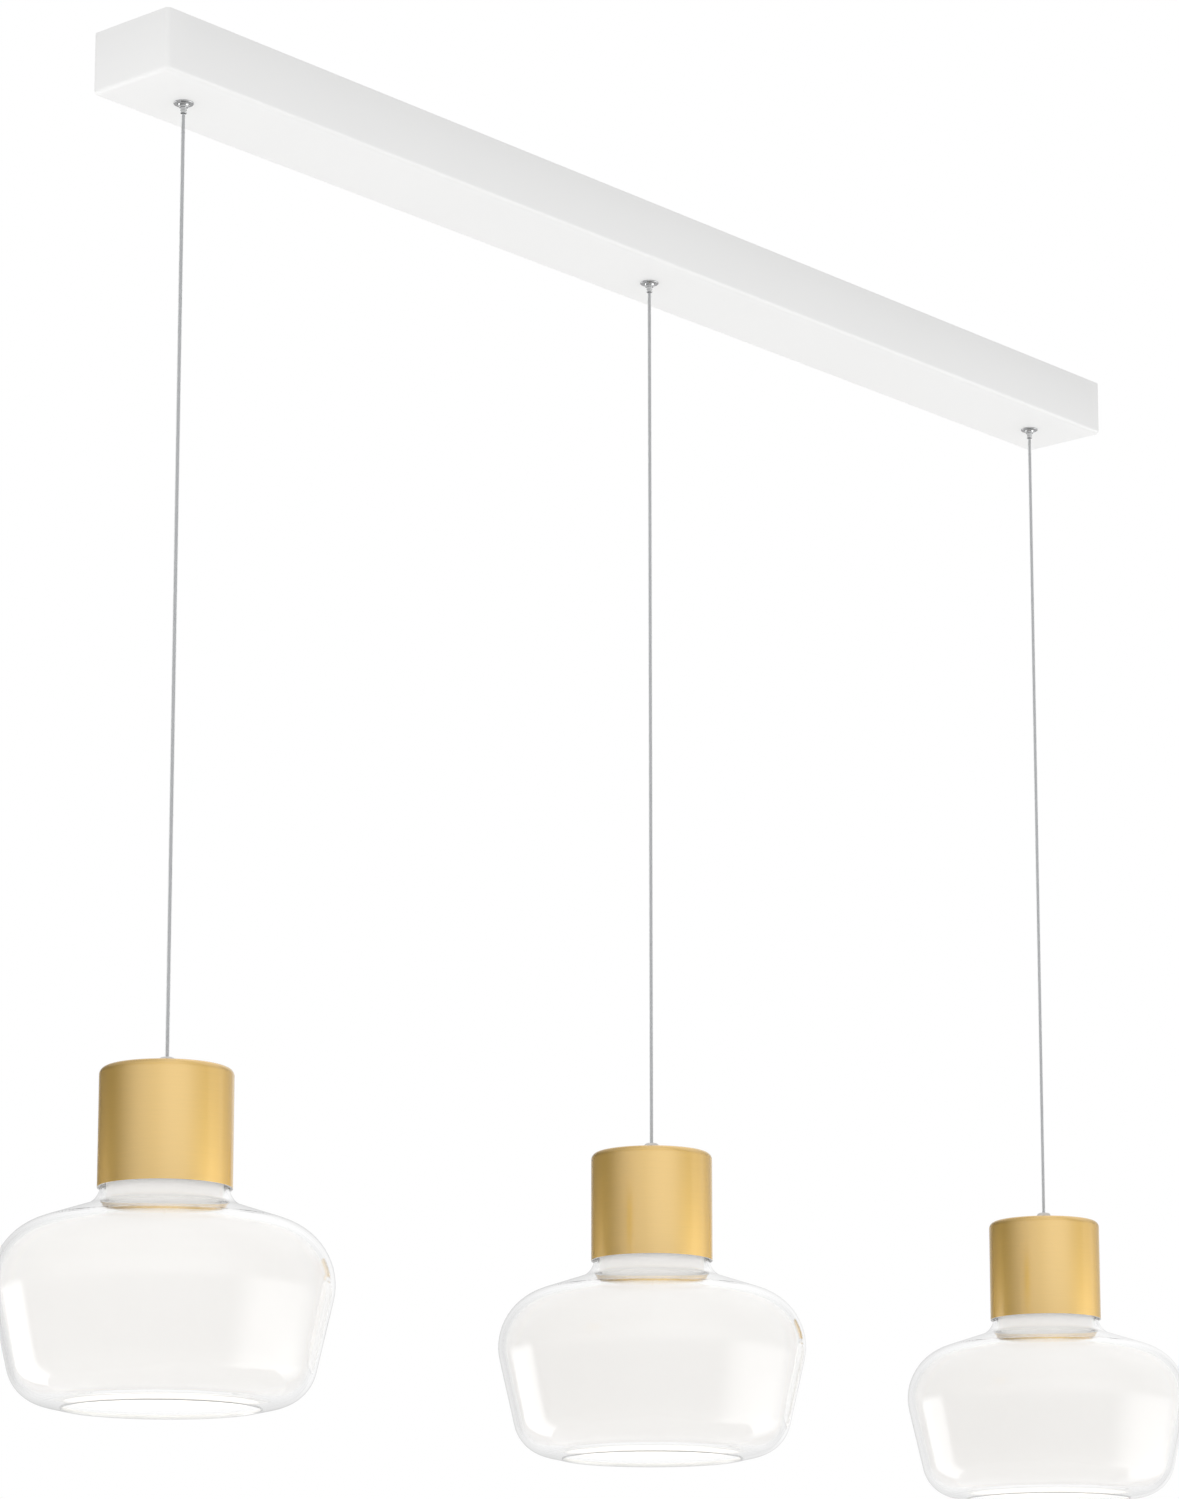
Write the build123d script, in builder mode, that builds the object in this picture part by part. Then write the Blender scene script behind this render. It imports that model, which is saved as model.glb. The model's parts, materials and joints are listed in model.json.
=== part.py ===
from build123d import *
import os
from math import cos, radians, sin

# A linear island pendant: a long white housing under the ceiling, and three lamps that hang from
# it on clear cables. Each lamp is a brass cup with a clear glass shade over an opal one.
# Millimetres. The ceiling is the plane Z = 0, X runs along the housing and Z points up.

# ---------------------------------------------------------------- driving sizes: housing
housing_end_margin = 47.0
housing_width = 68.0
housing_height = 41.0
housing_wall = 1.2
housing_corner_radius = 3.5
housing_bend_radius = 3.0
lip_depth = 5.8
lip_end_setback = 20.0

# ---------------------------------------------------------------- driving sizes: ceiling bracket
bracket_sheet = 1.5
bracket_end_gap = 18.0
bracket_side_gap = 0.1
bracket_flange_height = 12.0
bracket_hook_gap = 1.0
hook_width = 30.0
hook_spacing = 380.0
hook_side_gap = 1.3
slot_length = 12.0
slot_width = 5.2
inner_slot_spacing = 320.0
outer_slot_spacing = 810.0
mains_hole_radius = 11.0
mains_hole_x = -60.0

# ---------------------------------------------------------------- driving sizes: housing screws
screw_radius = 2.0
screw_hole_radius = 2.3
screw_length = 8.0
screw_head_radius = 3.9
screw_head_height = 2.2
screw_drop = 7.5
screw_spacing = 420.0
cross_slot_width = 0.9
cross_slot_length = 4.4
cross_slot_depth = 1.1
thread_clearance = 0.05

# ---------------------------------------------------------------- driving sizes: cable and gripper
lamp_spacing = 453.0
cable_drop = 619.0
cable_radius = 1.3
core_radius = 0.65
core_clearance = 0.05
cable_end_gap = 0.3
cable_bend_length = 12.0
flange_radius = 6.4
flange_thickness = 0.9
flange_edge_radius = 0.35
cone_top_radius = 4.9
cone_foot_radius = 2.9
cone_height = 2.3
stem_radius = 4.0
stem_length = 13.0
stem_clearance = 0.15
gripper_bore_radius = 1.55
nipple_radius = 2.02
nipple_clearance = 0.08
nipple_grip_height = 2.2
nipple_neck_radius = 1.75
nipple_neck_height = 1.2
nipple_bead_height = 0.8
nipple_edge_radius = 0.25
nipple_collar_radius = 2.75
nipple_collar_height = 2.5
nipple_travel = 1.8
collar_clearance = 0.1
gripper_floor = 2.6
gripper_roof = 2.5
spring_wire_radius = 0.25
spring_turns = 6
spring_end_gap = 0.1
nut_flats = 11.0
nut_thickness = 3.5
washer_radius = 7.5
washer_thickness = 0.8

# ---------------------------------------------------------------- driving sizes: driver and terminals
driver_length = 160.0
driver_width = 36.0
driver_case_height = 16.0
driver_lid_height = 2.5
driver_wall = 1.6
driver_corner_radius = 1.7
driver_lid_clearance = 0.1
driver_lid_rim = 3.0
driver_left = 190.0
driver_y = 6.0
terminal_length = 40.0
terminal_width = 20.0
terminal_height = 13.0
terminal_x = -20.0
terminal_y = 14.0
terminal_pitch = 10.0
terminal_screw_radius = 2.1
terminal_screw_depth = 5.0
terminal_wire_radius = 1.7
terminal_wire_depth = 12.0
terminal_corner_radius = 1.0
terminal_chamfer = 0.6
lead_radius = 1.1
lead_drop = 8.0
lead_bow = 3.0
lead_bend_radius = 150.0
tail_level = -13.0
lower_tail_level = -17.0
tail_lane_y = -17.5
lower_tail_lane_y = -21.4
tail_pitch = 6.0
tail_turn = 27.0
lower_tail_turn = 38.0
tail_run_in = 123.0
tail_bend_radius = 10.0
lower_tail_bend_radius = 8.5
tail_sweep_radius = 300.0
right_tail_radius = 60.0

# ---------------------------------------------------------------- driving sizes: cup and gland
cup_diameter = 82.0
cup_height = 73.5
cup_wall = 1.5
cup_edge_radius = 4.5
gland_radius = 5.2
gland_collar_height = 1.2
gland_tip_radius = 2.6
gland_height = 7.0
gland_bore_radius = 1.5
gland_stem_radius = 4.0
gland_stem_length = 12.0
gland_seat_gap = 0.5

# ---------------------------------------------------------------- driving sizes: shades
neck_clearance = 0.5
neck_height = 14.0
neck_corner_depth = 8.2
shoulder_radius = 110.6
shoulder_depth = 31.9
base_radius = 88.9
base_rise = 6.5
mouth_radius = 59.5
shade_depth = 134.0
lip_corner_radius = 3.6
flare_radius = 14.0
opal_flare_radius = 6.0
belly_radius = 40.0
heel_radius = 27.0
clear_wall = 2.6
opal_wall = 2.2
shade_gap = 2.9
neck_gap = 1.0
shade_lip_radius = 29.7
mouth_edge_radius = 0.9
same_point = 0.01

# ---------------------------------------------------------------- driving sizes: inside the cup
gasket_thickness = 1.0
sink_clearance = 0.2
sink_plate = 4.0
sink_column_radius = 12.0
sink_bore_radius = 3.0
spigot_clearance = 0.4
fin_count = 12
fin_thickness = 1.6
fin_height = 36.0
fin_tip_gap = 2.0
ring_bore_radius = 24.0
ring_ledge_radius = 22.0
ring_ledge_height = 1.5
ring_edge_radius = 0.6
ring_height = 6.2
ring_clearance = 0.2
ring_screw_radius = 1.5
ring_screw_circle = 26.8
ring_screw_length = 10.0
ring_screw_head_radius = 2.4
ring_screw_head_height = 1.6
ring_screw_count = 3
ring_screw_clearance = 0.2
hex_socket_flats = 2.0
hex_socket_depth = 0.9
board_radius = 21.8
board_thickness = 1.6
chip_size = 3.2
chip_height = 0.7
chip_circle = 12.0
chip_count = 8
disc_clearance = 0.3
disc_thickness = 1.5
disc_edge_radius = 0.5

# ---------------------------------------------------------------- places worked out from the sizes
lamps = {"left": -lamp_spacing, "middle": 0.0, "right": lamp_spacing}
housing_length = 2 * (lamp_spacing + housing_end_margin)
housing_floor = -housing_height
inner_wall_y = housing_width / 2 - housing_wall
stem_hole_radius = stem_radius + stem_clearance

nipple_bore_radius = nipple_radius + nipple_clearance
gripper_foot = -flange_thickness - cone_height
nipple_tip = gripper_foot - nipple_travel - nipple_grip_height
cavity_radius = nipple_collar_radius + collar_clearance
cavity_floor = gripper_foot + gripper_floor
cavity_roof = stem_length - gripper_roof
collar_foot = cavity_floor + spring_end_gap / 2
collar_top = collar_foot + nipple_collar_height
spring_radius = cavity_radius - collar_clearance - 2 * spring_wire_radius

upper_pivot_z = housing_floor + nipple_tip - cable_end_gap - cable_radius
bend_foot_z = upper_pivot_z + cable_radius - cable_bend_length
lower_pivot_z = bend_foot_z - cable_end_gap - cable_radius
cup_top_z = housing_floor - cable_drop
cup_mouth_z = cup_top_z - cup_height
gland_top_z = cup_top_z + gland_height

neck_radius = cup_diameter / 2 - cup_wall - neck_clearance
opal_neck_radius = neck_radius - clear_wall - neck_gap
opal_neck_height = neck_height - clear_wall - gasket_thickness
ring_top = opal_neck_height - opal_wall
sink_foot = neck_height + gasket_thickness
spigot_radius = shade_lip_radius - spigot_clearance
board_foot = ring_top - board_thickness
ring_foot = ring_top - ring_height
ring_radius = opal_neck_radius - lip_corner_radius - ring_clearance
disc_foot = ring_foot + ring_ledge_height

driver_top = -bracket_sheet
driver_floor = driver_top - driver_case_height
driver_right = driver_left + driver_length


def level(x, z, y=0.0):
    """A horizontal sketch plane with its origin at x, y, z."""
    return Plane(origin=(x, y, z), x_dir=(1, 0, 0), z_dir=(0, 0, 1))


def upright(x, z):
    """The plane of a lamp's turned profiles: local X is the radius, local Y is height above z."""
    return Plane(origin=(x, 0, z), x_dir=(1, 0, 0), z_dir=(0, -1, 0))


def lamp_axis(x):
    """The vertical axis that everything turned on one lamp shares."""
    return Axis((x, 0, 0), (0, 0, 1))


def save(part, name):
    """Labels a finished piece and writes it under its name."""
    part.label = name
    export_step(part, f"parts/{name}.step")
    print(f"{name}: {part.volume:.0f} mm3")


# ---------------------------------------------------------------- housing and bracket
def make_housing_cover():
    """The white sheet-steel housing, open to the ceiling, with a lip that hooks on the bracket."""
    with BuildPart() as cover:
        with BuildSketch(Plane.XY.offset(housing_floor)):
            RectangleRounded(housing_length, housing_width, housing_corner_radius)
        extrude(amount=housing_height)
        fillet(cover.faces().sort_by(Axis.Z)[0].edges(), radius=housing_bend_radius)
        offset(amount=-housing_wall, openings=cover.faces().sort_by(Axis.Z)[-1])
        with BuildSketch(Plane.XY):
            with Locations((0, lip_depth / 2 - housing_width / 2 + housing_wall / 2)):
                Rectangle(housing_length - 2 * lip_end_setback, lip_depth + housing_wall)
        extrude(amount=-housing_wall)
        with BuildSketch(Plane.XY.offset(housing_floor)):
            with Locations(*[(x, 0) for x in lamps.values()]):
                Circle(stem_hole_radius)
        extrude(amount=2 * housing_wall, mode=Mode.SUBTRACT)
        with BuildSketch(Plane.XZ.offset(-housing_width / 2)):
            with Locations(*[(x, -screw_drop) for x in (-screw_spacing, 0, screw_spacing)]):
                Circle(screw_hole_radius)
        extrude(amount=2 * housing_wall, mode=Mode.SUBTRACT)
    return cover.part


def make_ceiling_bracket():
    """The zinc-plated channel that is screwed to the ceiling, with hooks along its near side."""
    far_y = inner_wall_y - bracket_side_gap
    near_y = -inner_wall_y + lip_depth + bracket_hook_gap
    length = housing_length - 2 * (housing_wall + bracket_end_gap)
    hook_reach = inner_wall_y - hook_side_gap + near_y
    with BuildPart() as bracket:
        with BuildSketch(Plane.XY):
            with Locations((0, (far_y + near_y) / 2)):
                Rectangle(length, far_y - near_y)
            with Locations((-outer_slot_spacing / 2, 0), (outer_slot_spacing / 2, 0),
                           (-inner_slot_spacing / 2, 0), (inner_slot_spacing / 2, 0)):
                SlotOverall(slot_length, slot_width, mode=Mode.SUBTRACT)
            with Locations((mains_hole_x, 0)):
                Circle(mains_hole_radius, mode=Mode.SUBTRACT)
        extrude(amount=-bracket_sheet)
        with BuildSketch(Plane.XY):
            with Locations((0, far_y - bracket_sheet / 2), (0, near_y + bracket_sheet / 2)):
                Rectangle(length, bracket_sheet)
        extrude(amount=-bracket_flange_height)
        with BuildSketch(Plane.XY.offset(-housing_wall)):
            with Locations(*[(x, near_y - hook_reach / 2 + bracket_sheet / 2)
                             for x in (-hook_spacing, 0, hook_spacing)]):
                Rectangle(hook_width, hook_reach + bracket_sheet)
        extrude(amount=-bracket_sheet)
        with BuildSketch(Plane.XZ.offset(-far_y)):
            with Locations(*[(x, -screw_drop) for x in (-screw_spacing, 0, screw_spacing)]):
                Circle(screw_radius + thread_clearance)
        extrude(amount=2 * bracket_sheet, mode=Mode.SUBTRACT)
    return bracket.part


def make_cover_screws():
    """Three cross-head screws through the housing's far wall into the bracket."""
    seat = housing_width / 2
    places = [(x, -screw_drop) for x in (-screw_spacing, 0, screw_spacing)]
    with BuildPart() as screws:
        with BuildSketch(Plane.XZ.offset(-seat)):
            with Locations(*places):
                Circle(screw_head_radius)
        extrude(amount=-screw_head_height)
        outer_edges = screws.faces().sort_by(Axis.Y)[-len(places):].edges()
        fillet(outer_edges, radius=screw_head_height / 2)
        with BuildSketch(Plane.XZ.offset(-seat)):
            with Locations(*places):
                Circle(screw_radius)
        extrude(amount=screw_length)
        with BuildSketch(Plane.XZ.offset(-seat - screw_head_height)):
            with Locations(*places):
                Rectangle(cross_slot_length, cross_slot_width)
                Rectangle(cross_slot_width, cross_slot_length)
        extrude(amount=cross_slot_depth, mode=Mode.SUBTRACT)
    return screws.part


def make_gripper_nuts():
    """A washer and a hexagon nut on each gripper's stem, inside the housing."""
    seat = housing_floor + housing_wall
    places = [(x, 0) for x in lamps.values()]
    with BuildPart() as nuts:
        with BuildSketch(Plane.XY.offset(seat)):
            with Locations(*places):
                Circle(washer_radius)
                Circle(stem_hole_radius, mode=Mode.SUBTRACT)
        extrude(amount=washer_thickness)
        with BuildSketch(Plane.XY.offset(seat + washer_thickness)):
            with Locations(*places):
                RegularPolygon(nut_flats / 2, 6, major_radius=False)
                Circle(stem_radius + thread_clearance, mode=Mode.SUBTRACT)
        extrude(amount=nut_thickness)
    return nuts.part


# ---------------------------------------------------------------- wiring inside the housing
def make_terminal_block():
    """The mains terminal block: two ways, with screws reached from below and wires from each end."""
    foot = -bracket_sheet - terminal_height
    with BuildPart() as block:
        with BuildSketch(level(terminal_x, foot, terminal_y)):
            RectangleRounded(terminal_length, terminal_width, terminal_corner_radius)
        extrude(amount=terminal_height)
        chamfer(block.faces().sort_by(Axis.Z)[0].edges(), length=terminal_chamfer)
        with BuildSketch(level(terminal_x, foot, terminal_y)):
            with GridLocations(terminal_length / 2, terminal_pitch, 2, 2):
                Circle(terminal_screw_radius)
        extrude(amount=terminal_screw_depth, mode=Mode.SUBTRACT)
        for end in (-1, 1):
            mouth = Plane(origin=(terminal_x + end * terminal_length / 2, terminal_y, -lead_drop),
                          x_dir=(0, 1, 0), z_dir=(end, 0, 0))
            with BuildSketch(mouth):
                with Locations((-terminal_pitch / 2, 0), (terminal_pitch / 2, 0)):
                    Circle(terminal_wire_radius)
            extrude(amount=-terminal_wire_depth, mode=Mode.SUBTRACT)
    return block.part


def make_driver_case():
    """The sealed LED driver's case, screwed up against the bracket and open downwards."""
    centre_x = driver_left + driver_length / 2
    with BuildPart() as case:
        with BuildSketch(level(centre_x, driver_floor, driver_y)):
            RectangleRounded(driver_length, driver_width, driver_corner_radius)
        extrude(amount=driver_case_height)
        offset(amount=-driver_wall, openings=case.faces().sort_by(Axis.Z)[0])
    return case.part


def make_driver_lid():
    """The driver's lid, with a rim that sits inside the case."""
    centre_x = driver_left + driver_length / 2
    rim_inset = driver_wall + driver_lid_clearance
    with BuildPart() as lid:
        with BuildSketch(level(centre_x, driver_floor, driver_y)):
            RectangleRounded(driver_length, driver_width, driver_corner_radius)
        extrude(amount=-driver_lid_height)
        chamfer(lid.faces().sort_by(Axis.Z)[0].edges(), length=terminal_chamfer)
        with BuildSketch(level(centre_x, driver_floor, driver_y)):
            Rectangle(driver_length - 2 * rim_inset, driver_width - 2 * rim_inset)
            Rectangle(driver_length - 2 * rim_inset - 2 * driver_wall,
                      driver_width - 2 * rim_inset - 2 * driver_wall, mode=Mode.SUBTRACT)
        extrude(amount=driver_lid_rim)
    return lid.part


def sweep_tube(route, radii, tube_radius):
    """A round tube along straight runs joined by tangent arcs; it joins the part being built."""
    with BuildLine():
        path = FilletPolyline(*route, radius=radii)
    with BuildSketch(Plane(origin=path @ 0, z_dir=path % 0)) as section:
        Circle(tube_radius)
    sweep(sections=section.sketch, path=path)
    print(f"tube of {path.length:.0f} mm, bends {radii}")


def make_driver_leads():
    """Two insulated leads from the terminal block to the driver's input end."""
    start = terminal_x + terminal_length / 2 - terminal_wire_depth
    third = (driver_left - start) / 3
    with BuildPart() as leads:
        for y in (terminal_y - terminal_pitch / 2, terminal_y + terminal_pitch / 2):
            route = [(start, y, -lead_drop), (start + third, y, -lead_drop),
                     (driver_left - third, y - lead_bow, -lead_drop - lead_bow),
                     (driver_left, y - lead_bow, -lead_drop - lead_bow)]
            sweep_tube(route, [lead_bend_radius, lead_bend_radius], lead_radius)
    return leads.part


def make_cable_tails():
    """The cables inside the housing, from each gripper's nipple to the driver's output end."""
    foot = housing_floor + nipple_tip
    end = driver_right
    left, middle, right = lamps.values()
    low, high = lower_tail_level, tail_level
    left_route = [(left, 0, foot), (left, 0, low), (left + tail_run_in, lower_tail_lane_y, low),
                  (end + lower_tail_turn, lower_tail_lane_y, low),
                  (end + lower_tail_turn, driver_y - tail_pitch, low),
                  (end, driver_y - tail_pitch, low)]
    middle_route = [(middle, 0, foot), (middle, 0, high),
                    (middle + tail_run_in, tail_lane_y, high),
                    (end + tail_turn, tail_lane_y, high),
                    (end + tail_turn, driver_y, high), (end, driver_y, high)]
    right_route = [(right, 0, foot), (right, 0, high),
                   (end + tail_turn, driver_y + tail_pitch, high),
                   (end, driver_y + tail_pitch, high)]
    bend = tail_bend_radius
    with BuildPart() as tails:
        sweep_tube(left_route, [lower_tail_bend_radius, tail_sweep_radius, bend, bend],
                   cable_radius)
        sweep_tube(middle_route, [bend, tail_sweep_radius, bend, bend], cable_radius)
        sweep_tube(right_route, [bend, right_tail_radius], cable_radius)
    return tails.part


# ---------------------------------------------------------------- one gripper and its cable
def make_gripper_body(x):
    """The polished gripper: flange, trumpet cone below it, threaded stem and spring chamber."""
    cone_width = cone_top_radius - cone_foot_radius
    half_way = (cone_top_radius - cone_width * sin(radians(45)),
                gripper_foot + cone_height * sin(radians(45)))
    with BuildPart() as body:
        with BuildSketch(upright(x, housing_floor)) as profile:
            with BuildLine():
                Polyline((gripper_bore_radius, stem_length), (stem_radius, stem_length),
                         (stem_radius, 0), (flange_radius, 0),
                         (flange_radius, -flange_thickness),
                         (cone_top_radius, -flange_thickness))
                ThreePointArc((cone_top_radius, -flange_thickness), half_way,
                              (cone_foot_radius, gripper_foot))
                Polyline((cone_foot_radius, gripper_foot), (nipple_bore_radius, gripper_foot),
                         (nipple_bore_radius, cavity_floor), (cavity_radius, cavity_floor),
                         (cavity_radius, cavity_roof), (gripper_bore_radius, cavity_roof),
                         (gripper_bore_radius, stem_length))
            make_face()
            fillet(profile.vertices().group_by(Axis.X)[-1], radius=flange_edge_radius)
        revolve(axis=lamp_axis(x))
    return body.part


def make_gripper_nipple(x):
    """The release nipple: pressed up, its collet lets the cable run."""
    bead_top = nipple_tip + nipple_bead_height
    neck_top = bead_top + nipple_neck_height
    with BuildPart() as nipple:
        with BuildSketch(upright(x, housing_floor)) as profile:
            with BuildLine():
                Polyline((gripper_bore_radius, nipple_tip), (nipple_radius, nipple_tip),
                         (nipple_radius, bead_top), (nipple_neck_radius, bead_top),
                         (nipple_neck_radius, neck_top), (nipple_radius, neck_top),
                         (nipple_radius, collar_foot), (nipple_collar_radius, collar_foot),
                         (nipple_collar_radius, collar_top), (gripper_bore_radius, collar_top),
                         close=True)
            make_face()
            fillet(profile.vertices().sort_by(Axis.Y)[:2].sort_by(Axis.X)[-1],
                   radius=nipple_edge_radius)
        revolve(axis=lamp_axis(x))
    return nipple.part


def make_gripper_spring(x):
    """The coil spring that holds the nipple down on its seat."""
    foot = collar_top + spring_end_gap + spring_wire_radius
    height = cavity_roof - spring_end_gap - spring_wire_radius - foot
    with BuildPart() as spring:
        with BuildLine(level(x, housing_floor + foot)) as coil:
            Helix(pitch=height / spring_turns, height=height, radius=spring_radius)
        with BuildSketch(Plane(origin=coil.line @ 0, z_dir=coil.line % 0)):
            Circle(spring_wire_radius)
        sweep(path=coil.line, is_frenet=True)
    return spring.part


def make_cable_bend(x):
    """The first stretch of cable under the nipple, round-ended where it starts to swing."""
    with BuildPart() as bend:
        with BuildSketch(upright(x, upper_pivot_z)):
            with BuildLine():
                ThreePointArc((0, cable_radius),
                              (cable_radius * sin(radians(45)), cable_radius * cos(radians(45))),
                              (cable_radius, 0))
                Polyline((cable_radius, 0), (cable_radius, bend_foot_z - upper_pivot_z),
                         (0, bend_foot_z - upper_pivot_z), (0, cable_radius))
            make_face()
        revolve(axis=lamp_axis(x))
    return bend.part


def make_cable_jacket(x):
    """The clear jacket of the hanging cable, round-ended at its top, bored for the core."""
    foot = gland_top_z + cable_end_gap - lower_pivot_z
    bore_radius = core_radius + core_clearance
    with BuildPart() as jacket:
        with BuildSketch(upright(x, lower_pivot_z)):
            with BuildLine():
                ThreePointArc((0, cable_radius),
                              (cable_radius * sin(radians(45)), cable_radius * cos(radians(45))),
                              (cable_radius, 0))
                Polyline((cable_radius, 0), (cable_radius, foot), (bore_radius, foot),
                         (bore_radius, core_clearance), (0, core_clearance), (0, cable_radius))
            make_face()
        revolve(axis=lamp_axis(x))
    return jacket.part


def make_cable_core(x):
    """The tinned core that shows grey through the jacket and carries the lamp."""
    foot = gland_top_z + cable_end_gap
    with BuildPart() as core:
        with BuildSketch(level(x, foot)):
            Circle(core_radius)
        extrude(amount=lower_pivot_z - foot)
    return core.part


# ---------------------------------------------------------------- one lamp's cup
def make_cup(x):
    """The spun brass cup, rounded at its top edge and open below."""
    with BuildPart() as cup:
        with BuildSketch(level(x, cup_mouth_z)):
            Circle(cup_diameter / 2)
        extrude(amount=cup_height)
        fillet(cup.faces().sort_by(Axis.Z)[-1].edges(), radius=cup_edge_radius)
        offset(amount=-cup_wall, openings=cup.faces().sort_by(Axis.Z)[0])
        with BuildSketch(level(x, cup_top_z)):
            Circle(gland_stem_radius + stem_clearance)
        extrude(amount=-2 * cup_wall, mode=Mode.SUBTRACT)
    return cup.part


def make_cup_gland(x):
    """The domed gland on the cup; its stem screws into the heat sink and carries the lamp."""
    dome_width = gland_radius - gland_tip_radius
    dome_height = gland_height - gland_collar_height
    half_way = (gland_radius - dome_width * (1 - cos(radians(45))),
                gland_collar_height + dome_height * sin(radians(45)))
    with BuildPart() as gland:
        with BuildSketch(upright(x, cup_top_z)):
            with BuildLine():
                Polyline((gland_bore_radius, gland_height), (gland_tip_radius, gland_height))
                ThreePointArc((gland_tip_radius, gland_height), half_way,
                              (gland_radius, gland_collar_height))
                Polyline((gland_radius, gland_collar_height), (gland_radius, 0),
                         (gland_stem_radius, 0), (gland_stem_radius, -gland_stem_length),
                         (gland_bore_radius, -gland_stem_length),
                         (gland_bore_radius, gland_height))
            make_face()
        revolve(axis=lamp_axis(x))
    return gland.part


def make_cable_end(x):
    """The cable's end inside the cup, from the gland's tip to the back of the LED board."""
    with BuildPart() as end:
        with BuildSketch(level(x, cup_mouth_z + ring_top)):
            Circle(cable_radius)
        extrude(amount=gland_top_z - cup_mouth_z - ring_top)
    return end.part


def make_heat_sink(x):
    """The finned aluminium heat sink that fills the cup and seats both glass necks."""
    sink_radius = cup_diameter / 2 - cup_wall - sink_clearance
    column_top = cup_height - cup_wall
    plate_top = sink_foot + sink_plate
    socket_foot = cup_height - gland_stem_length - gland_seat_gap
    fin_length = sink_radius - fin_tip_gap
    with BuildPart() as sink:
        with BuildSketch(level(x, cup_mouth_z + ring_top)):
            Circle(spigot_radius)
        extrude(amount=sink_foot - ring_top)
        with BuildSketch(level(x, cup_mouth_z + sink_foot)):
            Circle(sink_radius)
        extrude(amount=sink_plate)
        with BuildSketch(level(x, cup_mouth_z + plate_top)):
            Circle(sink_column_radius)
        extrude(amount=column_top - plate_top)
        with BuildSketch(level(x, cup_mouth_z + plate_top)):
            with PolarLocations(fin_length / 2, fin_count):
                Rectangle(fin_length, fin_thickness)
        extrude(amount=fin_height)
        with BuildSketch(level(x, cup_mouth_z + ring_top)):
            Circle(sink_bore_radius)
        extrude(amount=column_top - ring_top, mode=Mode.SUBTRACT)
        with BuildSketch(level(x, cup_mouth_z + socket_foot)):
            Circle(gland_stem_radius + thread_clearance)
        extrude(amount=column_top - socket_foot, mode=Mode.SUBTRACT)
        with BuildSketch(level(x, cup_mouth_z + ring_top)):
            with PolarLocations(ring_screw_circle, ring_screw_count):
                Circle(ring_screw_radius + thread_clearance)
        extrude(amount=ring_screw_length, mode=Mode.SUBTRACT)
    return sink.part


# ---------------------------------------------------------------- the light engine and its ring
def make_led_board(x):
    """The round LED board on the spigot's face, with its ring of chips."""
    with BuildPart() as board:
        with BuildSketch(level(x, cup_mouth_z + board_foot)):
            Circle(board_radius)
        extrude(amount=board_thickness)
        with BuildSketch(level(x, cup_mouth_z + board_foot)):
            with PolarLocations(chip_circle, chip_count):
                Rectangle(chip_size, chip_size)
            Rectangle(chip_size, chip_size)
        extrude(amount=-chip_height)
    return board.part


def make_light_disc(x):
    """The small opal disc that hides the chips, resting on the ring's ledge."""
    with BuildPart() as disc:
        with BuildSketch(level(x, cup_mouth_z + disc_foot)):
            Circle(ring_bore_radius - disc_clearance)
        extrude(amount=disc_thickness)
        fillet(disc.faces().sort_by(Axis.Z)[0].edges(), radius=disc_edge_radius)
    return disc.part


def make_shade_ring(x):
    """The white ring that clamps both glass necks and holds the small disc."""
    with BuildPart() as ring:
        with BuildSketch(level(x, cup_mouth_z + ring_foot)):
            Circle(ring_radius)
            Circle(ring_ledge_radius, mode=Mode.SUBTRACT)
        extrude(amount=ring_height)
        with BuildSketch(level(x, cup_mouth_z + disc_foot)):
            Circle(ring_bore_radius)
        extrude(amount=ring_height - ring_ledge_height, mode=Mode.SUBTRACT)
        with BuildSketch(level(x, cup_mouth_z + ring_foot)):
            with PolarLocations(ring_screw_circle, ring_screw_count):
                Circle(ring_screw_radius + ring_screw_clearance)
        extrude(amount=ring_height, mode=Mode.SUBTRACT)
        fillet(ring.faces().sort_by(Axis.Z)[0].edges().sort_by(SortBy.RADIUS)[-1],
               radius=ring_edge_radius)
    return ring.part


def make_ring_screws(x):
    """Three socket-head screws that pull the ring up to the heat sink."""
    with BuildPart() as screws:
        with BuildSketch(level(x, cup_mouth_z + ring_foot)):
            with PolarLocations(ring_screw_circle, ring_screw_count):
                Circle(ring_screw_radius)
        extrude(amount=ring_screw_length)
        with BuildSketch(level(x, cup_mouth_z + ring_foot)):
            with PolarLocations(ring_screw_circle, ring_screw_count):
                Circle(ring_screw_head_radius)
        extrude(amount=-ring_screw_head_height)
        with BuildSketch(level(x, cup_mouth_z + ring_foot - ring_screw_head_height)):
            with PolarLocations(ring_screw_circle, ring_screw_count):
                RegularPolygon(hex_socket_flats / 2, 6, major_radius=False)
        extrude(amount=hex_socket_depth, mode=Mode.SUBTRACT)
    return screws.part


def make_shade_gaskets(x):
    """Two clear silicone rings: above the clear glass's lip, and between the two lips."""
    seats = [(neck_height, neck_radius), (opal_neck_height, opal_neck_radius)]
    with BuildPart() as gaskets:
        for height, outer_radius in seats:
            with BuildSketch(level(x, cup_mouth_z + height)):
                Circle(outer_radius - lip_corner_radius)
                Circle(shade_lip_radius, mode=Mode.SUBTRACT)
            extrude(amount=gasket_thickness)
    return gaskets.part


# ---------------------------------------------------------------- the two glass shades
def clear_corners():
    """Corners of the clear shade's outside, from its lip in the cup down to its mouth."""
    return [(shade_lip_radius, neck_height), (neck_radius, neck_height),
            (neck_radius, -neck_corner_depth), (shoulder_radius, -shoulder_depth),
            (base_radius, base_rise - shade_depth), (mouth_radius, -shade_depth)]


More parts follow.
